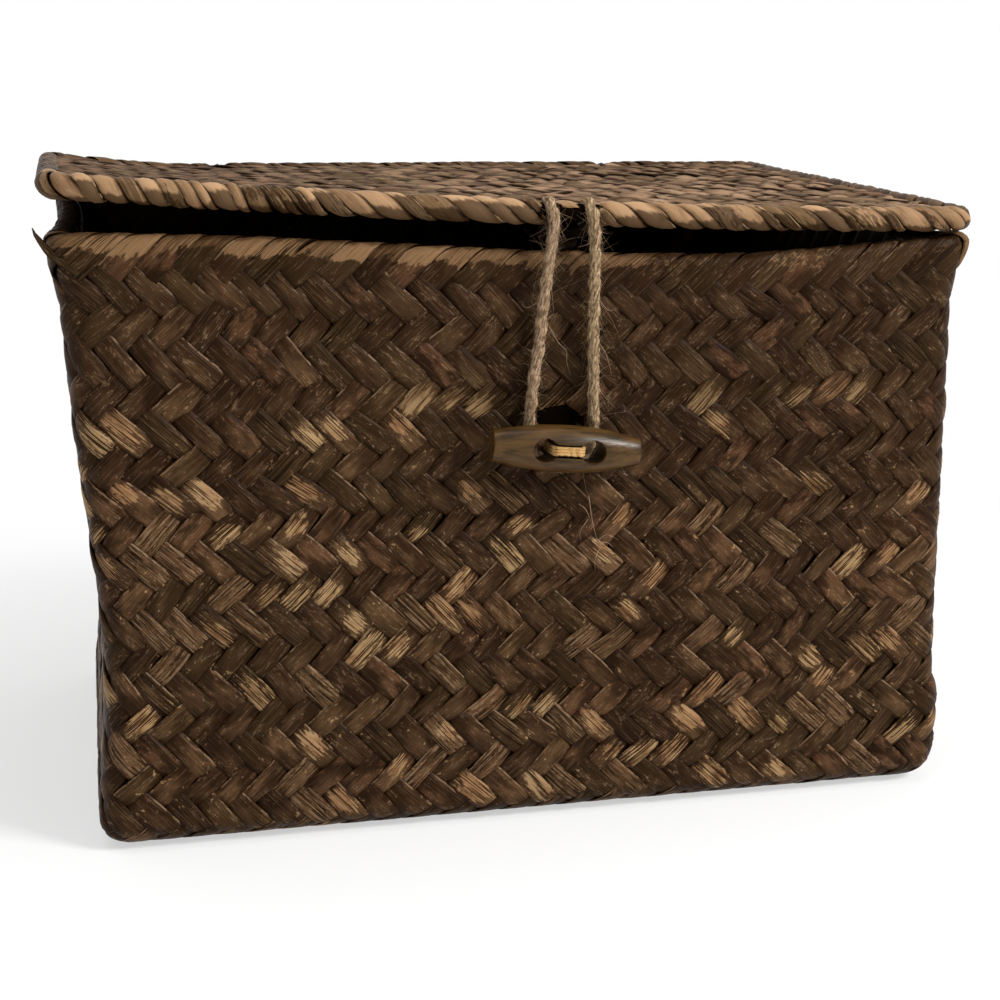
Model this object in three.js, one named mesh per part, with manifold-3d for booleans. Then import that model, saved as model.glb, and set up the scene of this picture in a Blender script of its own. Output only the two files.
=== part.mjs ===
// A lidded storage box woven from flat plant strips: a double-walled body with a folded rim,
// a double lid panel gripped by a wrapped edge roll, two twine rings that hinge the lid at the
// back, and a twine loop on the lid that hooks behind a wooden toggle sewn to the front.
// Millimetres, +Z up, the front faces -Y, the origin is the middle of the base.
import * as THREE from "three";
import { mergeVertices } from "three/addons/utils/BufferGeometryUtils.js";
import Module from "manifold-3d";

const wasm = await Module();
wasm.setup();

// Body
const bodyWidth = 250;
const bodyDepth = 170;
const bodyHeight = 167;
const cornerRadius = 8.5;
const baseRadius = 7;
const wallThickness = 2.2;
const liningThickness = 1.8;
const clearance = 0.3;

// How the soft walls stand: nothing on a woven box is quite square
const leanLeft = 4;
const waistLeft = 5.3;
const waistHeight = bodyHeight * 0.31;
const waistReach = 48;
const backTaper = 3;
const frontBulge = 1.5;
const sidePinch = 2.4;
const cornerFlare = 1.8;
const flareHeight = 22;
const footFlare = 4.5;
const footHeight = 20;
const footReach = 14;
const rimTilt = 1.4;
const rimSag = 6;
const sagMiddle = 50;
const sagLeftReach = 175;
const sagRightReach = 95;
const rimRiseAtBack = 2.5;

// Folded rim
const rimDepth = 13;
const rimFoldThickness = 1;
const rimCrown = 1.2;
const rimMiddle = bodyHeight - 7;

// Lid
const lidOverhang = 4.3;
const lidSpread = 1.4;
const lidShift = 0.4;
const lidCornerRadius = 9.5;
const rollDiameter = 6.8;
const panelThickness = 1.8;
const lidLiningThickness = 1.5;
const panelGrip = 1.9;
const lidFrontHeight = bodyHeight - 0.8;
const lidBackHeight = bodyHeight + 7.3;
const frontLift = 11.2;
const frontLiftPower = 1.8;
const backCurl = 4.5;
const backCurlReach = 46;

// Hinge rings
const hingeBehind = 1;
const hingeDrop = 4.2;
const tieRadius = 9.2;
const tieTwine = 2.6;
const tieSpacing = 140;

// Closing twine
const twineDiameter = 3.4;
const leftStrandX = 1.6;
const rightStrandX = 12.7;
const strandWrap = 0.5;
const knotWidth = 10;
const knotHeight = 5;
const knotInset = 11.5;

// Toggle and its stitch
const toggleX = 4.3;
const toggleDrop = 57.3;
const toggleTilt = 5;
const toggleLength = 41.6;
const toggleHeight = 13;
const toggleDepth = 11;
const leftEndHeight = 8.7;
const rightEndHeight = 7.6;
const holeDiameter = 6.4;
const holeSpacing = 13.6;
const stitchDiameter = 3.2;
const stitchSink = 1.1;
const shankDiameter = 4.8;
const stitchKnotWidth = 9;
const stitchKnotDepth = 4.8;

const doubleWall = wallThickness + clearance + liningThickness;
const twineRadius = twineDiameter / 2;
const rollRadius = rollDiameter / 2;
const wallTop = bodyHeight - rimCrown - clearance;
const toggleZ = bodyHeight - toggleDrop;
const halfWidth = bodyWidth / 2;
const halfDepth = bodyDepth / 2;
const lidMiddleX = lidShift - leanLeft / 2;
const lidWidth = bodyWidth + 2 * lidOverhang + lidSpread;
const lidDepth = bodyDepth + 2 * lidOverhang;

// A step from 0 to 1 with soft ends
const smooth = (t) => THREE.MathUtils.smoothstep(t, 0, 1);

// Height of the rim's top edge over a point of the square plan
function rimHeightAt(x, y) {
  const reach = x < sagMiddle ? sagLeftReach : sagRightReach;
  const away = Math.min(1, Math.abs(x - sagMiddle) / reach);
  const atFront = smooth((halfDepth - y) / bodyDepth);
  const sag = rimSag * Math.cos((away * Math.PI) / 2) ** 2 * atFront ** 4;
  const rise = (rimRiseAtBack * (y + halfDepth)) / bodyDepth;
  return bodyHeight - (rimTilt * x) / halfWidth - sag + rise;
}

// A soft hump over a height, 1 at its middle
const hump = (z, middle, reach) => Math.exp(-(((z - middle) / reach) ** 2));

// Carries a point of the square box to where it lies on the real one: the left side leans out,
// is waisted and narrows to the back, both sides are pinched, the front corners flare
function settle(x, y, z) {
  const up = z / bodyHeight;
  const side = x / halfWidth;
  const deep = y / halfDepth;
  const atLeft = Math.max(0, -side);
  const waist = waistLeft * atLeft * hump(z, waistHeight, waistReach);
  const taper = (backTaper * atLeft * (deep + 1)) / 2;
  const lean = (leanLeft * up ** 4 * (1 - side)) / 2;
  const pinch = sidePinch * side * Math.max(0, 1 - deep ** 2) * up ** 3;
  const corner = Math.min(1, Math.abs(side)) ** 8 * Math.min(1, Math.abs(deep)) ** 8 * (deep < 0 ? 1 : 0);
  const flare = cornerFlare * corner * smooth(1 - (bodyHeight - z) / flareHeight);
  const foot = side > 0 ? footFlare * corner * hump(z, footHeight, footReach) : 0;
  const bulge = frontBulge * Math.max(0, 1 - side ** 2) * Math.sin(Math.PI * Math.min(1, Math.max(0, up)));
  return new THREE.Vector3(
    x + waist + taper - lean - pinch + Math.sign(side) * flare + foot,
    y + deep * bulge + Math.sign(deep) * flare,
    (z * rimHeightAt(x, y)) / bodyHeight,
  );
}

// Height of the lid's underside over a point of its plan, measured from the lid's middle
function lidHeightAt(x, y) {
  const toLeft = THREE.MathUtils.clamp(0.5 - x / lidWidth, 0, 1);
  const curl = Math.max(0, backCurlReach - lidWidth / 2 - x) / backCurlReach;
  const back = lidBackHeight + backCurl * curl ** 1.5;
  const front = lidFrontHeight + frontLift * toLeft ** frontLiftPower;
  return THREE.MathUtils.mapLinear(y, -halfDepth, halfDepth, front, back);
}

const layLid = (x, y, z) => new THREE.Vector3(x + lidMiddleX, y, z + lidHeightAt(x, y));

// Points round a rectangle with rounded corners, each with its outward direction
function roundedPlan(width, depth, radius, alongWidth = 10, alongDepth = 6, perCorner = 4) {
  const plan = [];
  const reachX = width / 2 - radius;
  const reachY = depth / 2 - radius;
  const corners = [
    [reachX, -reachY, -90, alongDepth, [0, 1]],
    [reachX, reachY, 0, alongWidth, [-1, 0]],
    [-reachX, reachY, 90, alongDepth, [0, -1]],
    [-reachX, -reachY, 180, alongWidth, [1, 0]],
  ];
  for (const [cx, cy, start, sideSteps, along] of corners) {
    for (let i = 0; i <= perCorner; i++) {
      const angle = THREE.MathUtils.degToRad(start + (90 * i) / perCorner);
      const out = new THREE.Vector2(Math.cos(angle), Math.sin(angle));
      plan.push({ x: cx + radius * out.x, y: cy + radius * out.y, out });
    }
    const last = plan[plan.length - 1];
    const length = 2 * (along[0] ? reachX : reachY);
    for (let i = 1; i < sideSteps; i++) {
      const run = (length * i) / sideSteps;
      plan.push({ x: last.x + along[0] * run, y: last.y + along[1] * run, out: last.out });
    }
  }
  return plan;
}

const bodyPlan = roundedPlan(bodyWidth, bodyDepth, cornerRadius);
const lidPlan = roundedPlan(lidWidth, lidDepth, lidCornerRadius);

// One ring of points: the plan drawn in by inset and raised to z, then carried by place.
// A spread below 1 draws the ring on towards the middle of the plan.
function ringAt(plan, inset, z, place, spread = 1) {
  return plan.map(({ x, y, out }) => place((x - out.x * inset) * spread, (y - out.y * inset) * spread, z));
}

// A solid from rings of equal count: ends closed by fans, or the last ring joined to the first.
// Each quad is split the same way up, so that faces that run side by side keep their gap.
function loft(rings, endless) {
  const count = rings[0].length;
  const positions = rings.flat().flatMap((p) => [p.x, p.y, p.z]);
  const index = [];
  const spans = endless ? rings.length : rings.length - 1;
  for (let r = 0; r < spans; r++) {
    const a = r * count;
    const next = (r + 1) % rings.length;
    const b = next * count;
    const rising = rings[next][0].z > rings[r][0].z;
    for (let i = 0; i < count; i++) {
      const j = (i + 1) % count;
      if (rising) index.push(a + i, a + j, b + j, a + i, b + j, b + i);
      else index.push(a + i, a + j, b + i, a + j, b + j, b + i);
    }
  }
  if (!endless) {
    for (const [ring, start, turn] of [
      [rings[0], 0, -1],
      [rings[rings.length - 1], (rings.length - 1) * count, 1],
    ]) {
      const middle = ring.reduce((sum, p) => sum.add(p), new THREE.Vector3()).divideScalar(count);
      const hub = positions.length / 3;
      positions.push(middle.x, middle.y, middle.z);
      for (let i = 0; i < count; i++) {
        const j = (i + 1) % count;
        index.push(...(turn > 0 ? [start + i, start + j, hub] : [start + j, start + i, hub]));
      }
    }
  }
  const geometry = new THREE.BufferGeometry();
  geometry.setAttribute("position", new THREE.Float32BufferAttribute(positions, 3));
  geometry.setIndex(index);
  return facedOut(geometry);
}

// Turns the faces round if they point inwards
function facedOut(geometry) {
  const p = geometry.getAttribute("position");
  const corner = [new THREE.Vector3(), new THREE.Vector3(), new THREE.Vector3()];
  const list = geometry.index.array;
  let volume = 0;
  for (let i = 0; i < list.length; i += 3) {
    corner.forEach((c, k) => c.fromBufferAttribute(p, list[i + k]));
    volume += corner[0].dot(corner[1].clone().cross(corner[2])) / 6;
  }
  if (volume < 0) {
    for (let i = 0; i < list.length; i += 3) [list[i], list[i + 1]] = [list[i + 1], list[i]];
  }
  return geometry;
}

function asSolid(geometry) {
  const bare = geometry.clone();
  for (const name of Object.keys(bare.attributes)) {
    if (name !== "position") bare.deleteAttribute(name);
  }
  const merged = facedOut(mergeVertices(bare, 1e-4));
  const vertProperties = merged.getAttribute("position").array;
  return new wasm.Manifold(
    new wasm.Mesh({ numProp: 3, vertProperties, triVerts: new Uint32Array(merged.index.array) }),
  );
}

function asGeometry(solid) {
  const mesh = solid.getMesh();
  const geometry = new THREE.BufferGeometry();
  geometry.setAttribute("position", new THREE.BufferAttribute(mesh.vertProperties, 3));
  geometry.setIndex(new THREE.BufferAttribute(mesh.triVerts, 1));
  return geometry;
}

const cut = (geometry, ...tools) =>
  asGeometry(tools.reduce((solid, tool) => solid.subtract(asSolid(tool)), asSolid(geometry)));

const join = (...pieces) => asGeometry(pieces.map(asSolid).reduce((a, b) => a.add(b)));

// A round cord along a list of points
function cord(points, radius, steps, sides = 8) {
  const section = new THREE.Shape(
    Array.from({ length: sides }, (_, i) => {
      const angle = (2 * Math.PI * i) / sides;
      return new THREE.Vector2(radius * Math.cos(angle), radius * Math.sin(angle));
    }),
  );
  const path = new THREE.CatmullRomCurve3(points, false, "centripetal");
  return new THREE.ExtrudeGeometry(section, { extrudePath: path, steps, bevelEnabled: false });
}

// A ball squeezed to a knot's size
function knot(width, depth, height, at) {
  const ball = new THREE.SphereGeometry(0.5, 12, 8);
  ball.scale(width, depth, height);
  ball.translate(at.x, at.y, at.z);
  return ball;
}

// Hinge rings: each passes through the back wall under the rim and through the lid panel
const hingeY = halfDepth + hingeBehind;
const hingeZ = lidBackHeight + rollRadius - hingeDrop;

function hingeRing(x, extra = 0) {
  const ring = new THREE.TorusGeometry(tieRadius, tieTwine / 2 + extra, 8, 24);
  ring.rotateY(Math.PI / 2);
  ring.translate(x, hingeY, hingeZ);
  return ring;
}

const tieX = { left: lidMiddleX - tieSpacing / 2, right: lidMiddleX + tieSpacing / 2 };
const ringCuts = () => [hingeRing(tieX.left, clearance), hingeRing(tieX.right, clearance)];

// Toggle: a barrel with cut-off ends, two holes and a groove between them for the stitch.
// Its own frame has X along the barrel, and the front wall behind it.
const wallFront = settle(toggleX, -halfDepth, toggleZ).y;
const wallInside = wallFront + doubleWall;
const toggleY = wallFront - twineDiameter - 2 * clearance - toggleDepth / 2;
const toggleFront = -toggleDepth / 2;
const stitchY = toggleFront + stitchSink;
const stitchRadius = stitchDiameter / 2;
const shankRadius = shankDiameter / 2;
const strandX = holeSpacing / 2 - holeDiameter / 2 + stitchRadius + clearance;
const turned = (geometry) => {
  geometry.rotateY(THREE.MathUtils.degToRad(toggleTilt));
  geometry.translate(toggleX, toggleY, toggleZ);
  return geometry;
};

function stitchPoints() {
  const toWall = wallFront - toggleY;
  const half = [
    [shankRadius - stitchRadius, toWall + 0.6],
    [shankRadius - stitchRadius + 0.3, toWall - 0.7],
    [strandX - 0.5, toggleDepth / 2 - 0.2],
    [strandX, toggleDepth / 2 - 2.5],
    [strandX, stitchY + 3],
    [strandX - 0.3, stitchY + 1.2],
    [strandX - 1.2, stitchY + 0.2],
    [strandX - 2.6, stitchY],
  ];
  const right = half.map(([x, y]) => new THREE.Vector3(x, y, 0));
  const left = half.map(([x, y]) => new THREE.Vector3(-x, y, 0)).reverse();
  return [...right, ...left];
}

function alongY(radius, from, to, x = 0, z = 0) {
  const rod = new THREE.CylinderGeometry(radius, radius, to - from, 20);
  rod.translate(x, (from + to) / 2, z);
  return rod;
}

function toggleBarrel() {
  const rounds = 10;
  const profile = [new THREE.Vector2(0, -toggleLength / 2)];
  for (let i = 0; i <= rounds; i++) {
    const t = (2 * i) / rounds - 1;
    const end = (t < 0 ? leftEndHeight : rightEndHeight) / 2;
    const radius = toggleHeight / 2 - (toggleHeight / 2 - end) * t ** 2;
    profile.push(new THREE.Vector2(radius, (t * toggleLength) / 2));
  }
  profile.push(new THREE.Vector2(0, toggleLength / 2));
  const barrel = new THREE.LatheGeometry(profile, 20);
  barrel.rotateZ(-Math.PI / 2);
  barrel.scale(1, toggleDepth / toggleHeight, 1);
  return barrel;
}

function toggleGeometry() {
  const holes = [-1, 1].map((side) =>
    alongY(holeDiameter / 2, -toggleDepth, toggleDepth, (side * holeSpacing) / 2),
  );
  const groove = new THREE.CylinderGeometry(stitchRadius + clearance, stitchRadius + clearance, holeSpacing, 16);
  groove.rotateZ(Math.PI / 2);
  groove.translate(0, stitchY, 0);
  const room = cord(stitchPoints(), stitchRadius + clearance, 28);
  return turned(cut(toggleBarrel(), ...holes, groove, room));
}

function stitchGeometry() {
  const inside = wallInside - toggleY;
  const shank = alongY(shankRadius, wallFront - toggleY - 0.2, inside + stitchKnotDepth / 2);
  const end = new THREE.Vector3(0, inside + clearance + stitchKnotDepth / 2, 0);
  const lump = knot(stitchKnotWidth, stitchKnotDepth, stitchKnotWidth - 1.5, end);
  return turned(join(cord(stitchPoints(), stitchRadius, 28), shank, lump));
}

const shankHole = () =>
  turned(alongY(shankRadius + clearance, wallFront - toggleY - frontBulge - 2, wallInside - toggleY + 2));

// Closing twine: a knot under the lid sends two strands up through the lid and over its edge
// roll, and the loop between them hangs down the front and hooks behind the toggle.
const rollCentreY = -halfDepth - lidOverhang + rollRadius;
const strandReach = rollRadius + strandWrap + twineRadius;

function strandPoints(x, knotX) {
  const under = lidHeightAt(x - lidMiddleX, rollCentreY);
  const rollZ = under + rollRadius;
  const behind = rollCentreY + strandReach;
  const points = [
    new THREE.Vector3(knotX, rollCentreY + knotInset, under - knotHeight / 2 - clearance),
    new THREE.Vector3((knotX + x) / 2, rollCentreY + knotInset - 3, under - twineRadius - 0.9),
    new THREE.Vector3(x + (knotX - x) / 8, behind + 0.5, under - 0.9),
    new THREE.Vector3(x, behind, under + 1.6),
  ];
  for (let angle = 0; angle <= 180; angle += 30) {
    const a = THREE.MathUtils.degToRad(angle);
    const y = rollCentreY + strandReach * Math.cos(a);
    points.push(new THREE.Vector3(x, y, rollZ + strandReach * Math.sin(a)));
  }
  return points;
}

const knotX = (leftStrandX + rightStrandX) / 2;
const strands = (radius) =>
  [leftStrandX, rightStrandX].map((x) => cord(strandPoints(x, knotX), radius, 20));

function closingKnotGeometry() {
  const under = lidHeightAt(knotX - lidMiddleX, rollCentreY);
  const at = new THREE.Vector3(knotX, rollCentreY + knotInset, under - knotHeight / 2 - clearance);
  return join(knot(knotWidth, knotWidth - 2, knotHeight, at), ...strands(twineRadius));
}

// The loop's route, chosen by hand: down the left strand, round behind the toggle, up the right.
// Each point is its x, how far it stands in front of the wall's plane, and its drop below the rim.
const loopRoute = [
  [1.6, 6.5, -5],
  [1.5, 6.4, 0],
  [1, 6, 4],
  [0.3, 5.8, 9.3],
  [-0.9, 5.2, 20],
  [-1.6, 4.8, 29],
  [-2.7, 4.4, 36.5],
  [-3.6, 3.9, 46],
  [-4, 3.5, 52.5],
  [-3.2, 3.4, 57.7],
  [-0.6, 3.4, 61.5],
  [5, 3.4, 63.6],
  [10.7, 3.4, 61.6],
  [13.4, 3.4, 57.8],
  [14.2, 3.5, 52.5],
  [14.1, 3.9, 46],
  [13.8, 4.4, 36.5],
  [13.5, 4.9, 26],
  [13.5, 5.3, 18.5],
  [13.4, 5.8, 9.3],
  [13.1, 6.3, 0.5],
  [12.7, 6.5, -4.5],
];
const loopPoints = loopRoute.map(([x, front, drop]) => new THREE.Vector3(x, -halfDepth - front, bodyHeight - drop));
const loopGeometry = () => cord(loopPoints, twineRadius, 38);

// Body shells, with rings at these shares of the height so that the walls can curve
const ringShares = [0.12, 0.25, 0.37, 0.5, 0.67, 0.81];

function shellProfile(inset, top) {
  const levels = [...ringShares.map((share) => share * bodyHeight), bodyHeight - rimDepth, rimMiddle];
  const radius = baseRadius - inset;
  const profile = [];
  for (let i = 0; i <= 3; i++) {
    const a = (Math.PI / 2) * (i / 3);
    profile.push([inset + radius * (1 - Math.sin(a)), inset + radius * (1 - Math.cos(a))]);
  }
  for (const z of levels.filter((level) => level < top - 2)) profile.push([inset, z]);
  profile.push([inset, top]);
  return profile;
}

function shell(outerInset, thickness) {
  const outer = shellProfile(outerInset, wallTop);
  const inner = shellProfile(outerInset + thickness, wallTop).reverse();
  const rings = [...outer, ...inner].map(([inset, z]) => ringAt(bodyPlan, inset, z, settle));
  return loft(rings, false);
}

const outerBasket = () => cut(shell(0, wallThickness), ...ringCuts(), shankHole());
const innerBasket = () => cut(shell(wallThickness + clearance, liningThickness), ...ringCuts(), shankHole());

// The folded rim straddles both walls: a channel with a crowned top
function rimFold() {
  const out = -clearance - rimFoldThickness;
  const into = doubleWall + clearance + rimFoldThickness;
  const low = bodyHeight - rimDepth;
  const section = [
    [out, low],
    [out, rimMiddle],
    [out, bodyHeight - 2.2],
    [out + 1, bodyHeight - 0.7],
    [doubleWall / 2, bodyHeight],
    [into - 1, bodyHeight - 0.7],
    [into, bodyHeight - 2.2],
    [into, rimMiddle],
    [into, low],
    [into - rimFoldThickness, low],
    [into - rimFoldThickness, rimMiddle],
    [into - rimFoldThickness, wallTop + clearance],
    [-clearance, wallTop + clearance],
    [-clearance, rimMiddle],
    [-clearance, low],
  ];
  const rings = section.map(([inset, z]) => ringAt(bodyPlan, inset, z, settle));
  return cut(loft(rings, true), ...ringCuts());
}

// Lid panels, whose edges run into the groove of the edge roll
const panelEdge = rollDiameter - panelGrip;
const lidStack = panelThickness + clearance + lidLiningThickness;
const liningBase = rollRadius - lidStack / 2;

function lidSheet(base, thickness) {
  const spreads = [1, 0.78, 0.54, 0.28];
  const rings = [
    ...spreads.toReversed().map((spread) => ringAt(lidPlan, panelEdge, base, layLid, spread)),
    ...spreads.map((spread) => ringAt(lidPlan, panelEdge, base + thickness, layLid, spread)),
  ];
  return cut(loft(rings, false), ...ringCuts(), ...strands(twineRadius + clearance));
}

function edgeRoll() {
  const groove = lidStack / 2 + clearance;
  const lip = Math.asin(groove / rollRadius);
  const section = [];
  const around = 12;
  for (let i = 0; i <= around; i++) {
    const angle = lip + ((2 * Math.PI - 2 * lip) * i) / around;
    section.push([rollRadius - rollRadius * Math.cos(angle), rollRadius + rollRadius * Math.sin(angle)]);
  }
  const floorInset = panelEdge - clearance;
  section.push([floorInset, rollRadius - groove], [floorInset, rollRadius + groove]);
  const mirrored = section.map(([inset, z]) => [rollDiameter - inset, z]);
  const turnedSection = mirrored.map(([inset, z], i) => (i <= around ? [inset, z] : section[i]));
  const rings = turnedSection.map(([inset, z]) => ringAt(lidPlan, inset, z, layLid));
  return cut(loft(rings, true), ...ringCuts());
}

const strip = { color: 0x4a3a29, roughness: 0.62, metalness: 0 };
const rimStrip = { color: 0x6b543a, roughness: 0.6, metalness: 0 };
const lidStrip = { color: 0x6e5744, roughness: 0.66, metalness: 0 };
const rollStrip = { color: 0x8a6c48, roughness: 0.6, metalness: 0 };
const jute = { color: 0xb89b70, roughness: 0.9, metalness: 0 };
const darkWood = { color: 0x4c3a2a, roughness: 0.35, metalness: 0 };
const paleCord = { color: 0xd0ac72, roughness: 0.85, metalness: 0 };

function piece(name, geometry, finish) {
  geometry.computeVertexNormals();
  const mesh = new THREE.Mesh(geometry, new THREE.MeshStandardMaterial(finish));
  mesh.name = name;
  return mesh;
}

const basket = new THREE.Group();
basket.add(
  piece("outer_basket", outerBasket(), strip),
  piece("inner_basket", innerBasket(), strip),
  piece("rim_fold", rimFold(), rimStrip),
  piece("hinge_tie_left", hingeRing(tieX.left), jute),
  piece("hinge_tie_right", hingeRing(tieX.right), jute),
);

const lid = new THREE.Group();
lid.add(
  piece("lid_panel", lidSheet(liningBase + lidLiningThickness + clearance, panelThickness), lidStrip),
  piece("lid_lining", lidSheet(liningBase, lidLiningThickness), strip),
  piece("lid_edge_roll", edgeRoll(), rollStrip),
  piece("closing_knot", closingKnotGeometry(), jute),
);

const closure = new THREE.Group();
closure.add(
  piece("closing_loop", loopGeometry(), jute),
  piece("toggle", toggleGeometry(), darkWood),
  piece("toggle_stitch", stitchGeometry(), paleCord),
);

const box = new THREE.Group();
box.add(basket, lid, closure);

export default box;
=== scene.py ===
import math

import bmesh
import bpy
import numpy as np
from mathutils import Matrix, Vector


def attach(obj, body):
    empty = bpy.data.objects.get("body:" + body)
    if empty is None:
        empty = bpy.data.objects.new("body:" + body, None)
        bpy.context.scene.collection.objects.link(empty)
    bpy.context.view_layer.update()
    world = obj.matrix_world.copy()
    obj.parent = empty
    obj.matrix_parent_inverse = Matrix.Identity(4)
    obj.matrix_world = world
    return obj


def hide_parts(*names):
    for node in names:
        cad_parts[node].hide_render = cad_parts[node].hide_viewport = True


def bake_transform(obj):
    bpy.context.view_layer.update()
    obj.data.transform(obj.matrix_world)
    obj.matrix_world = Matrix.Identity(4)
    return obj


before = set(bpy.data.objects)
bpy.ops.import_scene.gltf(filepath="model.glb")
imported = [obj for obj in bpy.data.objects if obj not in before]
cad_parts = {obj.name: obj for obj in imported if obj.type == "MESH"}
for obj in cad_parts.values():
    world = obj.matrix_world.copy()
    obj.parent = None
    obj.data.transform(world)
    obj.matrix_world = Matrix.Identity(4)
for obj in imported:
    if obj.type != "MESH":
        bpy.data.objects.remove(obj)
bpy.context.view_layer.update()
rng = np.random.default_rng(21)
mm = 0.001


# A dictionary whose values are also read as look.width
class Look(dict):
    __getattr__ = dict.__getitem__


# The body as it was modelled, in mm
body = Look(
    width=250, depth=170, height=167, corner=8.5, base=7, wall=4.3,
    leanLeft=4, waistLeft=5.3, waistHeight=51.8, waistReach=48, taper=3,
    bulge=1.5, pinch=2.4, flare=1.8, flareHeight=22,
    foot=4.5, footHeight=20, footReach=14,
    tilt=1.4, sag=6, sagMiddle=50, sagLeft=175, sagRight=95, backRise=2.5,
    arcFlatten=0.65, arcTuck=0.75, baseGap=0.75, baseSlope=0.35,
    foldClear=1.1, foldRise=0.62, foldRun=0.82,
)
halfWidth = body.width / 2
halfDepth = body.depth / 2

lid = Look(
    width=260, depth=178.6, corner=9.5, middle=-1.6, roll=6.8, top=5.2, under=1.6,
    front=166.2, back=174.3, lift=11.2, power=1.8, curl=4.5, curlReach=46,
)
rollRadius = lid.roll / 2

twillUp = 18.0
lidAcross = 8.1
stripsAround = 90
floatReach = 1.42  # half a float's length, in steps of the weave


def smooth(t):
    t = np.clip(t, 0, 1)
    return t * t * (3 - 2 * t)


# 1 in the middle, fading with each offset
def bell(*offsets):
    return np.exp(-sum(offset ** 2 for offset in offsets))


def rimHeight(x, y):
    reach = np.where(x < body.sagMiddle, body.sagLeft, body.sagRight)
    away = np.minimum(1, np.abs(x - body.sagMiddle) / reach)
    atFront = smooth((halfDepth - y) / body.depth)
    sag = body.sag * np.cos(away * np.pi / 2) ** 2 * atFront ** 4
    rise = body.backRise * (y + halfDepth) / body.depth
    return body.height - body.tilt * x / halfWidth - sag + rise


# Leans, waists, narrows and sags a point of the square box
def settle(x, y, z):
    up = z / body.height
    side = x / halfWidth
    deep = y / halfDepth
    atLeft = np.maximum(0, -side)
    waist = body.waistLeft * atLeft * bell((z - body.waistHeight) / body.waistReach)
    taper = body.taper * atLeft * (deep + 1) / 2
    lean = body.leanLeft * up ** 4 * (1 - side) / 2
    pinch = body.pinch * side * np.maximum(0, 1 - deep ** 2) * up ** 3
    corner = np.minimum(1, np.abs(side)) ** 8 * np.minimum(1, np.abs(deep)) ** 8 * (deep < 0)
    flare = body.flare * corner * smooth(1 - (body.height - z) / body.flareHeight)
    foot = body.foot * corner * (side > 0) * bell((z - body.footHeight) / body.footReach)
    bulge = body.bulge * np.maximum(0, 1 - side ** 2) * np.sin(np.pi * np.clip(up, 0, 1))
    return np.stack([
        x + waist + taper - lean - pinch + np.sign(side) * flare + foot,
        y + deep * bulge + np.sign(deep) * flare,
        z * rimHeight(x, y) / body.height,
    ], axis=-1)


def lidHeight(x, y):
    toLeft = np.clip(0.5 - x / lid.width, 0, 1)
    curl = np.maximum(0, lid.curlReach - lid.width / 2 - x) / lid.curlReach
    back = lid.back + lid.curl * curl ** 1.5
    front = lid.front + lid.lift * toLeft ** lid.power
    t = (y + halfDepth) / body.depth
    return front + (back - front) * t


def layLid(x, y, z):
    return np.stack([x + lid.middle, y + 0 * x, z + lidHeight(x, y)], axis=-1)


# A walk round a rounded rectangle: distance along it gives the place and the outward turn
class Plan:
    def __init__(self, width, depth, radius):
        self.width, self.depth, self.radius = width, depth, radius
        rx, ry = width / 2 - radius, depth / 2 - radius
        quarter = radius * math.pi / 2
        walk = [(0, -rx, -depth / 2, -math.pi / 2)]  # rows of distance, x, y and turn
        walked = 0
        for cx, cy, start, length in ((rx, -ry, -90, 2 * rx), (rx, ry, 0, 2 * ry),
                                      (-rx, ry, 90, 2 * rx), (-rx, -ry, 180, 2 * ry)):
            walked += length
            for i in range(9):
                at = walked + quarter * i / 8
                a = math.radians(start) + math.pi / 2 * i / 8
                walk.append((at, cx + radius * math.cos(a), cy + radius * math.sin(a), a))
            walked += quarter
        self.length = walked
        self.at, self.x, self.y, self.turn = np.array(walk).T

    def __call__(self, u):
        u = u - np.floor(u / self.length) * self.length
        x, y, turn = (np.interp(u, self.at, values) for values in (self.x, self.y, self.turn))
        return x, y, np.cos(turn), np.sin(turn)


bodyPlan = Plan(body.width, body.depth, body.corner)
lidPlan = Plan(lid.width, lid.depth, lid.corner)
wallAcross = bodyPlan.length / stripsAround


# Wall sheet: u round the box, v up it, h out of it; below the base arc v runs on under the box
def outerSheet(u, v, h):
    x, y, ox, oy = bodyPlan(u)
    r = body.base
    turn = np.clip((r - v) / r, 0, np.pi / 2)
    under = np.maximum(0, r - v - r * np.pi / 2)
    h = h * (1 - body.arcFlatten * smooth(turn)) - body.arcTuck * smooth(turn)
    inset = r * (1 - np.cos(turn)) - h * np.cos(turn) + under
    z = np.where(v > r, v, r * (1 - np.sin(turn)) - h * np.sin(turn))
    return settle(x - ox * inset, y - oy * inset, z)


def innerSheet(u, v, h):
    x, y, ox, oy = bodyPlan(u)
    inset = body.wall + h
    return settle(x - ox * inset, y - oy * inset, v)


def floorSheet(x, y, h):
    return settle(x, y, body.wall + h + 0 * x)


# The base's woven sheet turns up with the bottom arc of the walls
def baseSheet(x, y, h):
    r = body.base
    past = np.hypot(np.maximum(np.abs(x) - halfWidth + r, 0), np.maximum(np.abs(y) - halfDepth + r, 0))
    arc = r - np.sqrt(np.maximum(r * r - past * past, 0))
    return settle(x, y, body.baseGap - h + arc + body.baseSlope * past)


# Brings a place on the lid back to the middle line of its edge roll
def withinRoll(x, y):
    straight = (lidPlan.width / 2 - lidPlan.radius, lidPlan.depth / 2 - lidPlan.radius)
    past = [np.maximum(np.abs(at) - limit, 0) for at, limit in zip((x, y), straight)]
    keep = np.minimum(1, (lidPlan.radius - rollRadius) / np.maximum(np.hypot(*past), 1e-6))
    return [np.sign(at) * (np.minimum(np.abs(at), limit) + over * keep)
            for at, limit, over in zip((x, y), straight, past)]


def lidSheet(x, y, h):
    return layLid(*withinRoll(x, y), lid.top + h)


def liningSheet(x, y, h):
    return layLid(*withinRoll(x, y), lid.under - h)


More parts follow.
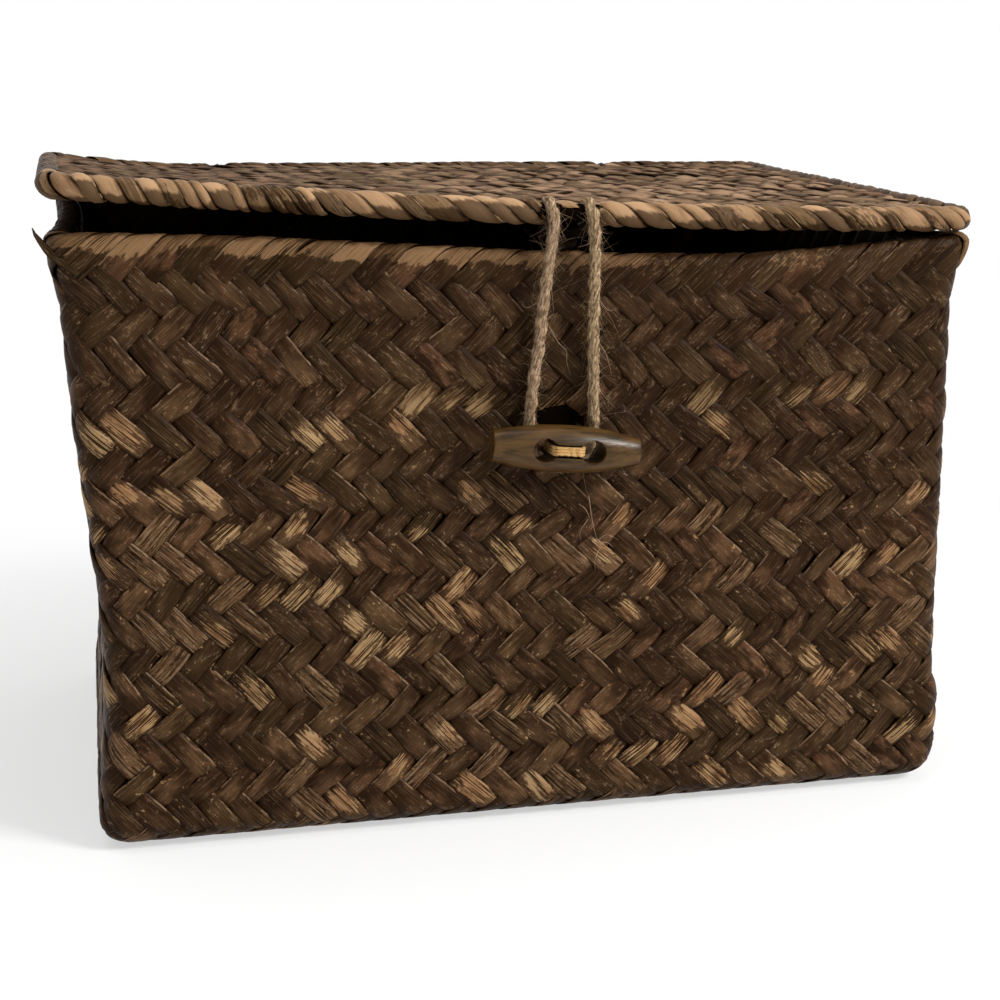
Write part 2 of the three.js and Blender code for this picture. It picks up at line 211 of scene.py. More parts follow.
# Round the lid's edge roll: u along the edge, turn round the roll
def rollSheet(u, turn, h):
    x, y, ox, oy = lidPlan(u)
    reach = rollRadius - (rollRadius + h) * np.cos(turn)
    return layLid(x - ox * reach, y - oy * reach, rollRadius + (rollRadius + h) * np.sin(turn))


# Rim sheet: l runs up the outside, over the fold and down the inside
def rimSheet(u, l, h):
    x, y, ox, oy = bodyPlan(u)
    half = body.wall / 2 + body.foldClear
    round_ = half * body.foldRise
    rise = body.height - round_
    arc = math.pi * half * body.foldRun
    t = np.clip((l - rise) / arc, 0, 1) * np.pi
    past = np.maximum(0, l - rise - arc)
    inset = half * (1 - np.cos(t)) - body.foldClear - h * np.cos(t)
    z = np.where(l < rise, l, rise + (round_ + h) * np.sin(t) - past)
    return settle(x - ox * inset, y - oy * inset, z)


def newPiece(name, points, faces, attributes=None):
    mesh = bpy.data.meshes.new(name)
    mesh.from_pydata((np.asarray(points) * mm).tolist(), [], np.asarray(faces).tolist())
    mesh.validate()
    for key, values in (attributes or {}).items():
        layer = mesh.attributes.new(key, "FLOAT_VECTOR", "POINT")
        layer.data.foreach_set("vector", np.asarray(values, float).ravel())
    mesh.shade_smooth()
    piece = bpy.data.objects.new(name, mesh)
    bpy.context.scene.collection.objects.link(piece)
    return piece


# Faces of many equal grids, one after another
def gridFaces(count, rows, columns):
    base = np.arange(rows * columns).reshape(rows, columns)
    quad = np.stack([base[:-1, :-1], base[1:, :-1], base[1:, 1:], base[:-1, 1:]], axis=-1).reshape(-1, 4)
    return (quad[None] + (np.arange(count) * rows * columns)[:, None, None]).reshape(-1, 4)


# Grids laid on a sheet; the sheets that show their far side have their faces turned over
def sheetPiece(name, sheet, u, v, h, facts=None):
    faces = gridFaces(*u.shape)
    if sheet in (innerSheet, baseSheet, liningSheet):
        faces = faces[:, ::-1]
    return newPiece(name, sheet(u, v, h).reshape(-1, 3), faces, facts)


def lowNoise(a, b, size, seed):
    k = 2 * np.pi / size
    return (np.sin(a * k + 1.7 * seed) * np.cos(b * k * 0.83 + seed)
            + 0.5 * np.sin(a * k * 2.1 + b * k * 1.3 + 2.9 * seed)) / 1.5


# Places along and across a strip, once for each strip
def stripPlaces(count, along, across):
    return [np.tile(grid, (count, 1, 1)) for grid in np.meshgrid(along, across, indexing="ij")]


# Draws one random number for each strip
def perStrip(count):
    return lambda low, high: rng.uniform(low, high, (count, 1, 1))


# Attributes that the strip materials read: place along the strip (downward) and across it, three chances,
# place in the sheet
def stripFacts(down, w, sL, wL, height, worn, tone=None):
    chance = lambda: rng.random((len(down), 1, 1))
    spread = lambda *values: np.stack([value + 0 * down for value in values], axis=-1).reshape(-1, 3)
    grain = spread(sL, wL, chance() * 100)
    tone = chance() if tone is None else tone
    return {"grain": grain, "fate": spread(tone, worn, chance()), "edge": spread(down, w, height)}


# A float's step, its slant and its strip's width, from the weave's repeat
def floatShape(across):
    angle = math.atan2(twillUp / 4, across / 2)
    return math.hypot(across / 2, twillUp / 4), angle, across * math.sin(angle)


# How the rows wander off straight: size, waves round the box, mm of height to each radian, start
wander = {"u": ((0.7, 9, 21, 0), (0.5, 17, -13, 1)), "v": ((0.8, 6, 30, 2), (0.5, 19, 17, 0))}


def wandered(way, around, v):
    return sum(size * np.sin(waves * around + v / rise + start) for size, waves, rise, start in wander[way])


# The floats of a twill that show on one face of a sheet. Each arches over two strips and dives under the next
def weave(name, sheet, floats, across, look):
    uMiddle, vMiddle, slant = floats
    count = len(slant)
    step, angle, stripWidth = floatShape(across)
    s, w = stripPlaces(count, np.linspace(-floatReach, floatReach, look.rows), look.columns)
    each = perStrip(count)
    falls = slant < 0
    size = each(1.0, 1.08) - 0.1 * (each(0, 1) < 0.1) + 0.06 * falls
    lift = look.lift * each(0.75, 1.2) * np.where(falls, 1.15, 0.85)
    crown = look.crown * each(0.6, 1.35) * np.where(falls, 1.2, 0.8)
    arch = np.where(falls, 1.13, 0.9)
    lean = look.tip + rng.normal(0, look.lean, (count, 1, 1))
    sL = s * step
    wL = w * size * (1 - each(0.0, 0.1) * (s / 1.4) ** 2) * stripWidth / 2
    wL = wL + 0.13 * lowNoise(sL, each(0, 30), 9, 3) * w ** 3
    turn = slant * angle + np.radians(rng.normal(0, look.turn, (count, 1, 1)))
    u = uMiddle + sL * np.cos(turn) - wL * np.sin(turn)
    v = vMiddle + sL * np.sin(turn) + wL * np.cos(turn)
    around = 2 * np.pi * u / bodyPlan.length
    u = u + wandered("u", around, v)
    dropU, dropV, spanU, spanV, drop = look.drop
    v = v + wandered("v", around, v) - drop * bell((u - dropU) / spanU, (v - dropV) / spanV)
    wave = np.cos(np.pi * np.clip(s / arch, -1.5, 1.5) / 2)
    h = lift * np.sign(wave) * np.abs(wave) ** 0.6 - crown * np.abs(w) ** 3 + lean * w
    h = h + 0.07 * lowNoise(sL + each(0, 30), wL * 2 + each(0, 30), 7, 5)
    h = h - look.lip * (np.abs(w) == 1)
    for hollowU, hollowV, spanU, spanV, deep in look.hollows:
        h = h - deep * bell((u - hollowU) / spanU, (v - hollowV) / spanV)
    worn = rng.random((count, 1, 1)) * np.where(falls, 1, 0.96)
    tone = rng.random((count, 1, 1)) * look.toneAt(u, v)
    return sheetPiece(name, sheet, u, v, h, stripFacts(-s * slant, w, sL, wL, v, worn, tone))


# The floats over a stretch of sheet: their middles along and up it, and their slants
def twillFloats(uRange, vRange, across, phase=0.0, shift=0.0):
    floats = []
    firstRow, lastRow = ((edge - phase) / twillUp for edge in vRange)
    for k in range(math.floor(firstRow) - 1, math.ceil(lastRow) + 1):
        for slant, part, offset in ((-1, 0.125, -0.25), (1, 0.625, 0.25)):
            v = phase + (k + part) * twillUp
            if vRange[0] <= v <= vRange[1]:
                first, last = (math.ceil((edge - shift) / across - offset - 1e-6) for edge in uRange)
                floats += [(shift + (i + offset) * across, v, slant) for i in range(first, last)]
    return np.array(floats).T.reshape(3, -1, 1, 1)


# Keeps the floats whose middles lie inside a rectangle
def within(floats, width, depth):
    keep = (np.abs(floats[0]) < width) & (np.abs(floats[1]) < depth)
    return floats[:, keep.ravel()]


def srgb(*levels):
    return tuple(((c / 255 + 0.055) / 1.055) ** 2.4 if c > 10 else c / 255 / 12.92 for c in levels) + (1,)


# A Math node as an operator, in its plain form and with the two sides changed over
def operator(name):
    return (lambda self, other: self.maths(name, self, other),
            lambda self, other: self.maths(name, other, self))


# One value in a shader, which adds, multiplies and mixes like a number
class Wire:
    def __init__(self, tree, socket):
        self.tree = tree
        self.socket = socket

    def maths(self, operation, *values):
        return addNode(self.tree, "Math", dict(enumerate(values)), operation=operation)

    __add__, __radd__ = operator("ADD")
    __sub__, __rsub__ = operator("SUBTRACT")
    __mul__, __rmul__ = operator("MULTIPLY")
    __truediv__, __rtruediv__ = operator("DIVIDE")

    def __neg__(self):
        return self * -1

    def above(self, low, high):
        return addNode(self.tree, "MapRange", {"Value": self, "From Min": low, "From Max": high},
                       interpolation_type="SMOOTHSTEP")

    # Mixes two colours, each from the shader or as three screen levels
    def mix(self, *pair):
        first, second = (tint if isinstance(tint, Wire) else srgb(*tint) for tint in pair)
        return addNode(self.tree, "Mix", {0: self, 6: first, 7: second}, 2, data_type="RGBA")

    def part(self, axis):
        return addNode(self.tree, "SeparateXYZ", {0: self}, axis)

    def noise(self, scale, detail=3.0, rough=0.55):
        place = addNode(self.tree, "VectorMath", {0: self, 1: scale}, operation="MULTIPLY")
        return addNode(self.tree, "TexNoise",
                       {"Vector": place, "Scale": 1.0, "Detail": detail, "Roughness": rough}, "Fac")

    def feed(self, node, key):
        self.tree.links.new(self.socket, node.inputs[key])


# Adds any node with its settings, socket values and links; gives one of its outputs
def addNode(tree, kind, values, output=0, **settings):
    node = tree.nodes.new("ShaderNode" + kind)
    for key, value in settings.items():
        setattr(node, key, value)
    for key, value in values.items():
        if isinstance(value, Wire):
            value.feed(node, key)
        else:
            node.inputs[key].default_value = value
    return Wire(tree, node.outputs[output])


def newMaterial(name, roughness, specular):
    material = bpy.data.materials.new(name)
    material.use_nodes = True
    shader = material.node_tree.nodes["Principled BSDF"]
    shader.inputs["Roughness"].default_value = roughness
    shader.inputs["Specular IOR Level"].default_value = specular
    return material, material.node_tree, shader


def attribute(tree, name):
    return addNode(tree, "Attribute", {}, "Vector", attribute_name=name)


def bump(shader, height, distance):
    values = {"Height": height, "Distance": distance, "Strength": 1.0}
    addNode(height.tree, "Bump", values, "Normal").feed(shader, "Normal")


# Lays tints over a colour, one after another
def paint(colour, layers):
    for mask, tint in layers:
        colour = mask.mix(colour, tint)
    return colour


# Flat plant strip: fibres along it, a painted highlight (sheen) in its middle and a thin one along one edge,
# painted shade at its edges and where it dives, with worn pale patches, split streaks, red stains and scuffs
def stripMaterial(name, look):
    material, tree, shader = newMaterial(name, look.roughness, look.specular)
    grain, fate, edge = (attribute(tree, key) for key in ("grain", "fate", "edge"))
    down, beside, place = (edge.part(axis) for axis in range(3))
    tone, worn, chance = (fate.part(axis) for axis in range(3))
    fibre = grain.noise((0.1, 3.0, 1), 4.0, 0.6)
    hair = grain.noise((0.06, 2.2, 3), 2.0, 0.5)
    blotch = grain.noise((0.15, 0.28, 1))
    ragged = grain.noise((0.28, 0.7, 7), 5.0, 0.7)
    scuff = grain.noise((0.45, 0.8, 2), 4.0, 0.75)
    brush = grain.noise((0.35, 1.5, 5), 5.0, 0.8)
    specks = grain.noise((0.42, 0.5, 11))
    ends, sides = down * down, beside * beside
    low = place.above(165, 70)
    colour = (tone * 0.6 + blotch * 0.8 + fibre * 0.3).above(0.4, 1.35).mix(look.dark, look.mid)
    bare = (tone + (blotch - 0.5) * 1.6 + (fibre - 0.5) * 1.2).above(0.62, 1.2) * (low * 0.6 + 0.4)
    red = chance.above(look.red, look.red - 0.06) * blotch.above(0.45, 0.62)
    # Painted highlight: a soft sheen in each float's middle, lighter towards its lower end, weaker near the
    # top of the walls
    middle = 0.75 - ends * 0.8 - sides * 0.7 + down * 0.4 + (blotch - 0.5) * 2.2 + (worn - 0.5) * 0.7
    size = worn.above(look.worn, 1.0)
    far = (down + (0.5 - chance) * 1.1) / (size * 0.6 + 0.5)
    wide = (beside + (0.5 - tone) * 0.9) / (size * 0.5 + 0.75)
    patch = (1.1 - far * far - wide * wide + (ragged - 0.5) * 6.0 + (fibre - 0.5) * 3.0).above(0.0, 0.75)
    patch = patch * worn.above(look.worn, look.worn + 0.01)
    if look.lowTop:
        patch = patch * place.above(look.lowTop, look.lowTop - 25)
    pale = (chance * 0.5 + blotch + ragged + hair * 0.3).above(1.2, 1.6).mix(look.patchRed, look.patch)
    bright = (hair * 0.7 + fibre * 0.5 + blotch * 0.3 + tone * 0.15).above(0.68, 0.95)
    nick = specks.above(0.67, 0.7) * low * blotch.above(0.45, 0.55)
    streaky = tone.above(look.streaky, look.streaky + 0.02) * ragged.above(0.44, 0.54)
    streaky = streaky * (low * 0.7 + 0.3)
    layers = [
        (bare * look.bares, look.bare),
        (red * 0.5, look.reddish),
        (middle.above(0.0, 1.2) * (low * 0.4 + 0.6) * (tone * 0.7 + 0.3) * look.sheens, look.sheen),
        (chance.above(0.6, 0.8) * look.olives, look.olive),
        (fibre.above(0.5, 0.75) * look.streaks, look.streak),
        (scuff.above(0.6, 0.72) * look.scuffs, look.streak),
        (brush.above(0.55, 0.64) * blotch.above(0.45, 0.6) * look.scuffs, look.streak),
        (patch, bright.mix(look.patchDark, pale)),
        (nick * look.nicks, pale),
        (streaky * hair.above(0.5, 0.6) * 0.55, look.streak),
    ]
    if "band" in look:  # pale along the rim's fold, where it was rubbed
        band = place + (ragged - 0.5) * 7 + (blotch - 0.5) * 9 + tone * 1.5
        band = band.above(look.band, look.band + 1) * (worn + (scuff - 0.5) * 1.5).above(0.3, 0.6)
        rubbed = (fibre + tone * 0.4).above(0.42, 0.95).mix(look.bandDark, look.bandPale)
        fold = (place + (blotch - 0.5) * 8).above(look.band + 3.2, look.band + 4.6)
        layers += [(band, rubbed), (fold * 0.6, look.mid)]
    if "smudge" in look:  # dark along the roll's underside, in spots and away from the front
        # Painted shade: the underside of each wrap, up to a random height, is darker; the dark spots are the
        # strips' own marks
        under = (ragged * 3.0 + blotch * 3.0 + tone * 7.0 - place).above(look.smudge, look.smudge + 1.2)
        spot = (blotch * 0.6 + ragged * 0.6).above(0.6, 0.66) * chance.above(0.55, 0.65)
        layers += [(under * 0.8, look.smudgeColour), (spot * 0.75, look.smudgeColour)]
        # Darker on the wraps away from the lid's front; in the dent where the twine pulls the roll in this is
        # painted shade
        layers += [(worn.above(0.6, 0.4) * 0.75, look.far)]
    torn = chance.above(look.split, look.split + 0.03)
    split = hair.above(0.45, 0.38) * (patch + torn + streaky).above(0, 1)
    # Painted shade: darker where the float dives under its neighbours and at its upper end, along its edges
    # and more along one side; on the lid (near) also at its lower end. The splits take the same dark colour
    # as real cracks.
    paintedShade = ends.above(look.dive, look.dive + 0.75) * 0.8 + (-down).above(0.2, 1.3) * 0.3
    paintedShade = paintedShade + sides.above(look.edgeFrom, 1.05) * look.edges
    paintedShade = paintedShade + (-beside).above(0.6 - look.near * 0.5, 1.0) * (look.near + 0.3)
    paintedShade = paintedShade + down.above(0.4, 1.2) * look.near
    # Painted highlight: a thin pale line along the upper edge of some strips, in the streak colour
    edgeHighlight = beside.above(0.8, 0.9) * beside.above(0.99, 0.95)
    edgeHighlight = edgeHighlight * tone.above(0.5, 0.55) * ragged.above(0.45, 0.55)
    layers += [(split * 0.85, look.crevice), (paintedShade.above(0, 1.15), look.crevice)]
    layers += [(edgeHighlight * look.ribs, look.streak)]
    paint(colour, layers).feed(shader, "Base Color")
    bump(shader, fibre * 0.5 + hair * 0.3 + blotch * 0.6 + brush * 0.3 - split * 1.4, look.relief * mm)
    return material


# Colours as screen levels, 0 to 255
# The sheen colour and amount are a painted highlight, as is the thin pale edge line; the darkening at edges,
# dives and the lid's lower side (near) is painted shade, in the dark colour that also fills the splits
stripLook = Look(
    roughness=0.42, specular=0.04, relief=0.22,
    dark=(32, 17, 6), mid=(52, 34, 18), olive=(52, 39, 18), olives=0.3,
    reddish=(86, 55, 36), red=0.2, bare=(98, 71, 47), bares=0.65,
    sheen=(92, 67, 43), sheens=0.7, streak=(140, 113, 86), streaks=0.22, streaky=0.88,
    scuffs=0.55, ribs=0.6, nicks=0.7, split=0.87, crevice=(24, 11, 2),
    edges=0.7, edgeFrom=0.84, near=0.0, dive=0.8,
    patch=(160, 130, 92), patchRed=(144, 107, 74), patchDark=(80, 55, 32), worn=0.76, lowTop=138,
)
rimLook = Look(
    stripLook, bares=0.1, sheens=0.05, streaky=0.95, scuffs=0.35, nicks=0.0, edges=1.0,
    worn=2, lowTop=0, band=163.6, bandPale=(128, 98, 68), bandDark=(60, 40, 21),
)
lidLook = Look(
    stripLook, roughness=0.6, specular=0.02,
    dark=(48, 30, 16), mid=(112, 86, 64), olive=(84, 66, 44), olives=0.6,
    reddish=(116, 78, 58), red=0.4, bares=0.0, sheen=(162, 132, 104), sheens=1.0,
    streak=(162, 134, 106), nicks=0.0, split=0.92, crevice=(46, 31, 18),
    edges=0.8, edgeFrom=0.5, near=0.45, dive=0.5, worn=0.97, lowTop=0,
)
rollLook = Look(
    stripLook, dark=(76, 49, 25), mid=(158, 121, 82), olive=(80, 60, 36), olives=0.75,
    reddish=(130, 86, 58), bares=0.0, sheen=(184, 148, 112), sheens=1.05,
    streak=(182, 150, 114), streaks=0.45, nicks=0.0, split=0.93,
    edges=1.1, edgeFrom=0.35, dive=0.55, worn=2, lowTop=0,
    smudge=5.6, smudgeColour=(42, 25, 8), far=(62, 43, 27),
)
# The inside strips, of box and lid, are a darker, duller copy of the wall strips: painted shade inside the
# box
shadedLiningLook = Look(
    stripLook, dark=(18, 12, 7), mid=(44, 31, 19), olive=(42, 33, 20), reddish=(52, 32, 22),
    sheen=(58, 44, 28), streak=(70, 54, 36), scuffs=0.2, worn=2, lowTop=0,
)
strips = stripMaterial("woven_strips", stripLook)
rimStrips = stripMaterial("rim_strips", rimLook)
lidStrips = stripMaterial("lid_strips", lidLook)
rollStrips = stripMaterial("roll_strips", rollLook)
shadedLiningStrips = stripMaterial("lining_strips_shaded", shadedLiningLook)


def darkMaterial(name, low, high):
    material, tree, shader = newMaterial(name, 0.9, 0.0)
    streak = addNode(tree, "TexCoord", {}, "Object").noise((90, 90, 400))
    streak.mix(low, high).feed(shader, "Base Color")
    return material


shade = darkMaterial("strip_shade", (9, 5, 2), (16, 10, 5))
lidShade = darkMaterial("lid_strip_shade", (44, 30, 18), (74, 56, 38))


# Finishes a piece: its material, the body it rides on, its slot (not used) and the nodes it stands for
def dress(piece, material, bodyName, slotName, *replaced):
    piece.data.materials.append(material)
    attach(piece, bodyName)
    if replaced:
        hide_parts(*replaced)


# Plain dark sheet behind the strips: painted shade in the gaps between them
def backing(name, sheet, us, vs, h, bodyName="basket", slotName="woven_strip", material=shade):
    u, v = stripPlaces(1, us, vs)
    dress(sheetPiece(name, sheet, u, v, h + 0 * u), material, bodyName, slotName)


# How light the strips are, by their place: the walls darken upward and to the right, the lid to the left
def wallTone(u, v):
    return 1 - 0.62 * smooth((v - 85) / 45) * (0.38 + 0.62 * smooth((u - 100) / 70))


def lidTone(x, y):
    return (0.1 + 1.2 * smooth((x + 100) / 160)) * (1.1 - 0.45 * smooth((y + 60) / 120))


def evenTone(u, v):
    return 1 + 0 * u


# Walls. Drop and hollows: place round and up, spans, depth
wallLook = Look(
    rows=13, columns=[-1.0, -0.985, -0.66, -0.33, 0, 0.33, 0.66, 0.985, 1.0],
    lift=0.6, crown=0.36, lean=0.16, tip=0.16, turn=2.2, lip=0.4,
    phase=6.75, shift=-1.7, drop=(30, 118, 45, 30, 2.5), toneAt=wallTone,
    hollows=[(bodyPlan.width / 2 - bodyPlan.radius + 5.5, 119.5, 7.5, 4.2, 3.2)],
)
plainLook = Look(wallLook, drop=(0, 0, 1, 1, 0), hollows=[])
innerLook = Look(plainLook, rows=9, columns=[-1.0, -0.6, 0, 0.6, 1.0], lip=0.0, toneAt=evenTone)
sideStarts = wallAcross * np.cumsum((-1, 27, 18, 27, 18))  # the strips across each side
wallFaces = (
    ("_wall_weave", outerSheet, (-6, 156), wallLook, strips, "outer_basket"),
    ("_lining_weave", innerSheet, (10, 157), innerLook, shadedLiningStrips, "inner_basket"),
)
for i, side in enumerate(("front", "right", "back", "left")):
    for ending, sheet, vRange, look, material, node in wallFaces:
        found = twillFloats(sideStarts[i:i + 2], vRange, wallAcross, look.phase, look.shift)
        woven = weave(side + ending, sheet, found, wallAcross, look)
        dress(woven, material, "basket", "woven_strip", *([node] if side == "front" else []))
print("walls woven")

aroundBody = np.linspace(0, bodyPlan.length, 241)
upBody = np.concatenate([np.linspace(-4.0, 7, 6), np.linspace(14, 164, 31)])
backing("outer_wall_shade", outerSheet, aroundBody, upBody, -1.0)
backing("inner_wall_shade", innerSheet, aroundBody, np.linspace(2.5, 164, 34), -0.9)

# Base and floor
allBase = twillFloats((-130, 130), (-90, 90), lidAcross)
for name, sheet, halfWide, halfDeep, material in (("base_weave", baseSheet, 116, 76, strips),
                                                  ("floor_weave", floorSheet, 112, 72, shadedLiningStrips)):
    woven = weave(name, sheet, within(allBase, halfWide, halfDeep), lidAcross, innerLook)
    dress(woven, material, "basket", "woven_strip")
acrossBase, alongBase = np.linspace(-117, 117, 25), np.linspace(-77, 77, 17)
backing("base_shade", baseSheet, acrossBase, alongBase, -1.0)
backing("floor_shade", floorSheet, acrossBase * 1.015, alongBase * 1.02, -0.8)
print("base and floor woven")


# Folded rim: each rising strip runs on over the rim and down inside, its right edge over its neighbour
def foldRim():
    look = Look(rows=40, columns=[-1.0, -0.985, -0.6, -0.2, 0.2, 0.6, 1.0], vMiddle=162.0, over=42,
                turn=1.5, sink=0.9, rise=1.2, lean=0.18, crown=0.22, tuck=0.4)
    step, angle, stripWidth = floatShape(wallAcross)
    along = np.linspace(-floatReach * step, look.over / math.sin(angle), look.rows)
    s, w = stripPlaces(stripsAround, along, look.columns)
    each = perStrip(stripsAround)
    wL = w * each(0.95, 1.12) * stripWidth / 2
    wL = wL + 0.2 * lowNoise(s, each(0, 30), 11, 2) * w
    turn = angle + np.radians(rng.normal(0, look.turn, (stripsAround, 1, 1)))
    uMiddle = (wallLook.shift + (np.arange(stripsAround) + 0.25) * wallAcross).reshape(-1, 1, 1)
    u = uMiddle + s * np.cos(turn) - wL * np.sin(turn)
    l = look.vMiddle + s * np.sin(turn) + wL * np.cos(turn)
    u = u + 0.5 * np.sin(17 * 2 * np.pi * u / bodyPlan.length)
    dive = smooth((s + floatReach * step) / (0.9 * step))
    h = look.rise * dive - look.sink - (look.lean + each(0, 0.14)) * w - look.crown * w ** 2
    h = h - look.tuck * (w == -1) + each(-0.06, 0.06)
    h = h + 0.15 * lowNoise(s + each(0, 30), wL + each(0, 30), 10, 4)
    fromLeft = (uMiddle + 30) % bodyPlan.length - 30
    worn = np.clip(0.95 - 0.78 * smooth((fromLeft - 90) / 90) + each(-0.2, 0.2), 0, 1)
    facts = stripFacts(np.maximum(-s / step, 0), w, s, wL, l, worn)
    return sheetPiece("rim_folds", rimSheet, u, l, h, facts)


dress(foldRim(), rimStrips, "basket", "rim_strip", "rim_fold")


# Torn strip end at the left front corner: rooted on the rim, then free
def tornEnd():
    look = Look(root=[(-1.5, -4.2, -6.6), (157.0, 159.6, 162.0), (0.1, 0.5, 0.9)],
            free=[(-129.6, -86.6, 164.6), (-131.2, -86.9, 166.8),
                     (-132.3, -87.0, 168.4), (-132.9, -87.0, 170.0)],
            widths=[1.0, 1.2, 1.2, 1.1, 0.8, 0.5, 0.15], length=14, crown=0.3,
            across=(0.7, 0.25, 0.6), out=(-0.3, -0.8, 0.2))
    route = np.vstack([rimSheet(*np.array(look.root)), look.free])
    s, w = stripPlaces(1, np.linspace(0, look.length, len(route)), [-1, -0.4, 0.4, 1.0])
    wide = (np.array(look.widths)[:, None] * w[0])[..., None] * np.array(look.across)
    crown = (look.crown * (1 - w[0] ** 2))[..., None] * np.array(look.out)
    points = route[:, None] + wide + crown
    facts = stripFacts(0.3 + 0 * s, w, s, 2 * w, 160.0, 0.1, 0.1)
    return newPiece("rim_torn_end", points.reshape(-1, 3), gridFaces(*s.shape), facts)


dress(tornEnd(), rimStrips, "basket", "rim_strip")


# A strip that bows off the right front corner: its left edge lifts, its ends and right edge are tucked in
def cornerStrip():
    look = Look(middle=241.4, width=1.9, low=157, high=174, bow=2.0, sink=0.4, tuck=0.6, rows=21)
    t, w = stripPlaces(1, np.linspace(0, 1, look.rows), [-1, -0.8, -0.4, 0, 0.4, 0.8, 1.0])
    l = look.low + (look.high - look.low) * t
    u = look.middle - t + look.width * w
    h = look.bow * np.sin(np.pi * t) ** 0.7 * (1 - 0.5 * w ** 2 - 0.4 * w) - look.sink - look.tuck * (w == -1)
    facts = stripFacts(0.2 + 0 * t, w * 0.5, 22 * t, look.width * w, 165.0, 0.95, 0.6)
    return sheetPiece("rim_corner_strip", rimSheet, u, l, h, facts)


dress(cornerStrip(), rimStrips, "basket", "rim_strip")
backing("rim_shade", rimSheet, aroundBody, np.linspace(160, 187, 20), -1.7, slotName="rim_strip")
print("rim folded")

# Lid sheets
lidMargin = 4
onLid = within(twillFloats((-140, 140), (-100, 100), lidAcross),
               lid.width / 2 - lidMargin, lid.depth / 2 - lidMargin)
lidTopLook = Look(plainLook, lift=0.85, crown=0.5, lean=0.4, toneAt=lidTone)
lidTop = weave("lid_weave", lidSheet, onLid, lidAcross, lidTopLook)
dress(lidTop, lidStrips, "lid", "lid_strip", "lid_panel")
lidUnder = weave("lid_lining_weave", liningSheet, onLid, lidAcross, innerLook)
dress(lidUnder, shadedLiningStrips, "lid", "woven_strip", "lid_lining")
acrossLid, alongLid = np.linspace(-125, 125, 51), np.linspace(-85, 85, 31)
backing("lid_shade", lidSheet, acrossLid, alongLid, -0.9, "lid", "lid_strip", lidShade)
backing("lid_lining_shade", liningSheet, acrossLid, alongLid, -0.8, "lid")

# Where the closing twine and the hinge rings cross the edge roll, and how deep the twine lies in it
twineAt = (1.6, 12.7)
ringsAt = (-71.6, 68.4)
twineDeep = 2.2


# Edge roll: strips wrapped slantwise round the lid's edge
def wrapRoll():
    look = Look(rows=22, columns=[-1.0, -0.97, -0.5, 0, 0.5, 1.0], mean=6.6, slant=0.9, steepTo=70,
                start=215, end=-150, inside=0.35, twineDent=3.0, ringDent=2.2, dentReach=2.4,
                lean=0.25, tuck=0.3, puff=0.5)
    widths = []
    while sum(widths) < lidPlan.length:
        narrow = 0.75 if sum(widths) < look.steepTo else 1
        widths.append(look.mean * rng.uniform(0.55, 1.5) * narrow)
    widths = np.array(widths) * lidPlan.length / sum(widths)
    starts = (np.cumsum(widths) - widths / 2).reshape(-1, 1, 1)
    rounds = np.radians(np.linspace(look.start, look.end, look.rows))
    turn, w = stripPlaces(len(widths), rounds, look.columns)
    each = perStrip(len(widths))
    width = widths.reshape(-1, 1, 1) * each(1.02, 1.16)
    slant = look.slant * each(0.8, 1.2) * (0.45 + 0.55 * smooth((starts - look.steepTo + 30) / 40))
    wL = w * width / 2 * (1 + 0.05 * lowNoise(turn * 3, each(0, 20), 6, 2))
    u = starts - slant * rollRadius * (turn - 0.4) + wL
    front = 1.0 * ((starts > -4) & (starts < body.width + 2) | (starts > lidPlan.length - 20))
    h = look.puff + look.lean * w - look.tuck * (w == -1)
    h = h - each(0.6, 1.0) * (0.5 + 0.5 * front) * w ** 2 + each(-0.15, 0.15)
    h = h + 0.1 * lowNoise(turn * 5 + each(0, 9), wL + each(0, 9), 8, 3)
    x, y, ox, oy = lidPlan(u)
    x = x + lid.middle
    up = np.sin(turn)
    for places, dent, side in ((twineAt, look.twineDent, -1), (ringsAt, look.ringDent, 1)):
        for place in places:
            h = h - dent * bell((x - place) / look.dentReach) * (y * side > 0) * (up > -0.2)
    pulled = smooth((x - twineAt[0]) / 1.5) * smooth((twineAt[1] - x) / 1.5)
    pulled = pulled * (y < 0) * smooth((0.75 - up) / 0.5)
    h = h - twineDeep * pulled - look.inside
    # The worn value, 0 away from the front and in the twine's dent, darkens those wraps: painted shade in the
    # dent
    facts = stripFacts(0 * w, w, rollRadius * turn, wL, rollRadius * turn, front * (1 - pulled))
    return sheetPiece("lid_edge_wraps", rollSheet, u, turn, h, facts)


dress(wrapRoll(), rollStrips, "lid", "roll_strip", "lid_edge_roll")
alongRoll, roundRoll = np.linspace(0, lidPlan.length, 221), np.linspace(0, 2 * np.pi, 13)
backing("lid_edge_core_shade", rollSheet, alongRoll, roundRoll, -0.9, "lid", "roll_strip")
print("lid woven")


# Smooth line through chosen points, at even steps
def smoothLine(points, step, closed=False):
    p = np.array(points, float)
    p = np.vstack([p[-1:], p, p[:2]]) if closed else np.vstack([2 * p[0] - p[1], p, 2 * p[-1] - p[-2]])
    line = []
    t = np.linspace(0, 1, 24, endpoint=False)[:, None]
    for a, b, c, d in zip(p, p[1:], p[2:], p[3:]):
        line.append(0.5 * (2 * b + (c - a) * t + (2 * a - 5 * b + 4 * c - d) * t ** 2
                           + (3 * b - a - 3 * c + d) * t ** 3))
    line = np.vstack(line + [p[-2][None]])
    length = np.concatenate([[0], np.cumsum(np.linalg.norm(np.diff(line, axis=0), axis=1))])
    at = np.linspace(0, length[-1], max(4, round(length[-1] / step)))
    return np.stack([np.interp(at, length, line[:, k]) for k in range(3)], axis=1), at


